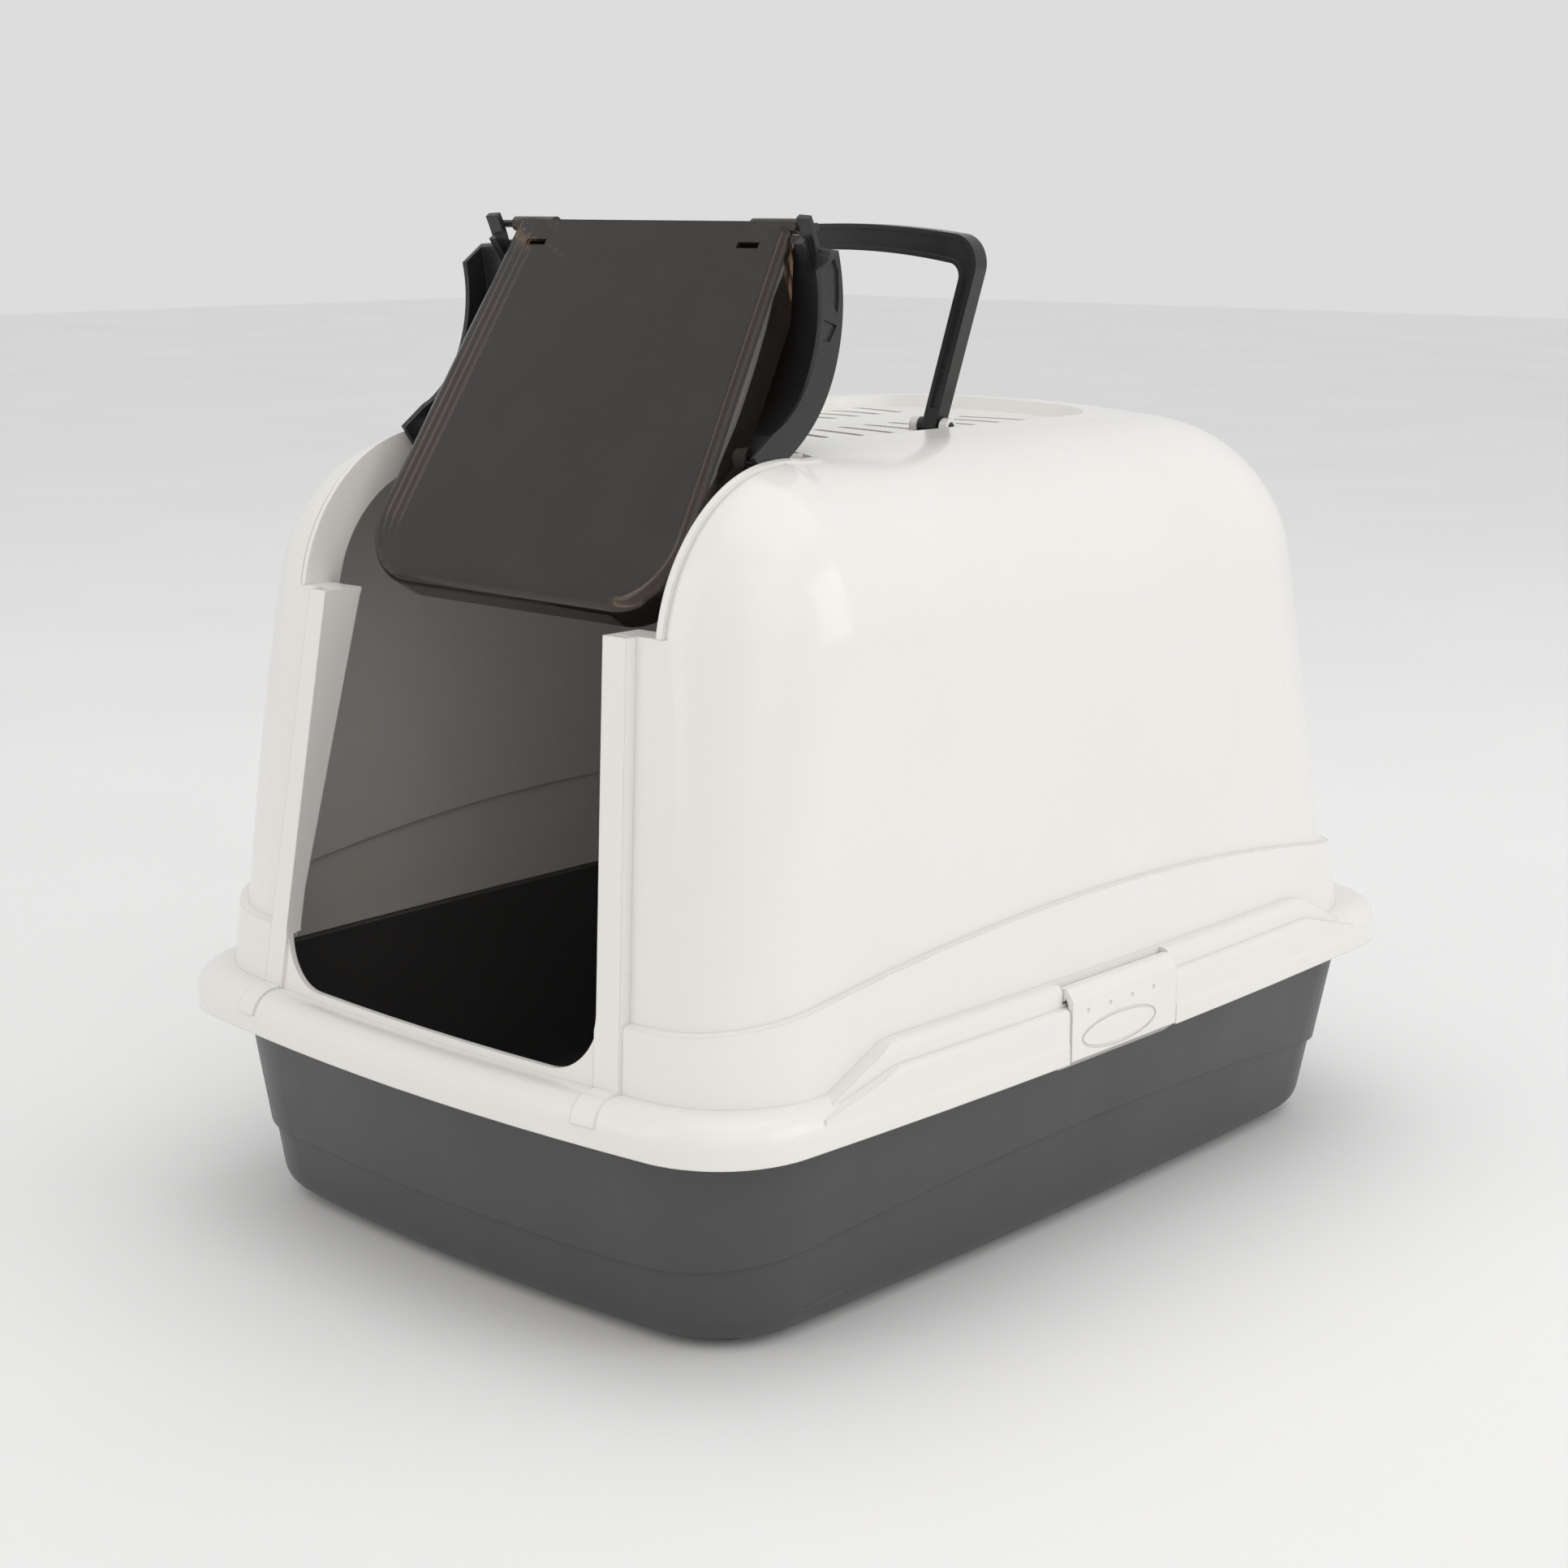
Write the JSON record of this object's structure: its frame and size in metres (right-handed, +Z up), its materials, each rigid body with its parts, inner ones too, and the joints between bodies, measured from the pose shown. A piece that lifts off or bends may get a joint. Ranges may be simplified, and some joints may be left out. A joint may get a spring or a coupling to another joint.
{
  "type": "cat litter box with hood",
  "caption": "Hooded cat litter box: deep tray, rounded lift-off hood with a vent, carry handle, side clips, and a front visor that swings open carrying a translucent flap door.",
  "frame": {"origin": "floor level under the centre of the tray, on the middle plane", "axes": "+Z up, -Y towards the entrance, +X to the right of a person facing the back"},
  "size_m": [0.4, 0.5486, 0.4744],
  "materials": {
    "hood_plastic": "glossy warm white moulded plastic",
    "tray_plastic": "satin dark grey moulded plastic",
    "smoked_plastic": "clear glossy plastic tinted smoky brown",
    "black_plastic": "satin black moulded plastic",
    "filter_felt": "black carbon felt",
    "foot_rubber": "matt black rubber"
  },
  "bodies": {
    "base": {"litter_tray": "tray_plastic", "rubber_feet": "foot_rubber"},
    "hood": {"hood": "hood_plastic", "carbon_filter": "filter_felt", "filter_cover": "black_plastic", "handle_pin_left": "black_plastic", "handle_pin_right": "black_plastic", "visor_hinge_pin_left": "black_plastic", "visor_hinge_pin_right": "black_plastic", "clip_pin_left": "hood_plastic", "clip_pin_right": "hood_plastic"},
    "handle": {"handle": "black_plastic"},
    "visor": {"visor": "black_plastic"},
    "door_pins": {"door_hinge_pin_left": "black_plastic", "door_hinge_pin_right": "black_plastic"},
    "door": {"flap_door": "smoked_plastic"},
    "clip_left": {"clip_left": "hood_plastic"},
    "clip_right": {"clip_right": "hood_plastic"}
  },
  "joints": [
    {"name": "hood_lift", "type": "slide", "parent": "base", "child": "hood", "axis": [0, 0, 1], "range_m": [0, 0.3]},
    {"name": "handle_fold", "type": "hinge", "parent": "hood", "child": "handle", "pos_m": [0, 0.026, 0.373], "axis": [-1, 0, 0], "range_deg": [0, 76]},
    {"name": "visor_hinge", "type": "hinge", "parent": "hood", "child": "visor", "pos_m": [0, -0.1435, 0.3725], "axis": [1, 0, 0], "range_deg": [0, 144.5]},
    {"name": "door_hang", "type": "hinge", "parent": "visor", "child": "door_pins", "pos_m": [0, -0.10978, 0.46902], "axis": [1, 0, 0], "range_deg": [-57.8, 0]},
    {"name": "door_swing", "type": "hinge", "parent": "door_pins", "child": "door", "pos_m": [0, -0.10978, 0.46902], "axis": [-1, 0, 0], "range_deg": [0, 110]},
    {"name": "clip_left_hinge", "type": "hinge", "parent": "hood", "child": "clip_left", "pos_m": [-0.1926, -0.005, 0.1292], "axis": [0, 1, 0], "range_deg": [0, 95]},
    {"name": "clip_right_hinge", "type": "hinge", "parent": "hood", "child": "clip_right", "pos_m": [0.1926, -0.005, 0.1292], "axis": [0, -1, 0], "range_deg": [0, 95]}
  ],
  "couplings": [
    {"joint": "door_hang", "follows": "visor_hinge", "ratio": -0.4}
  ]
}
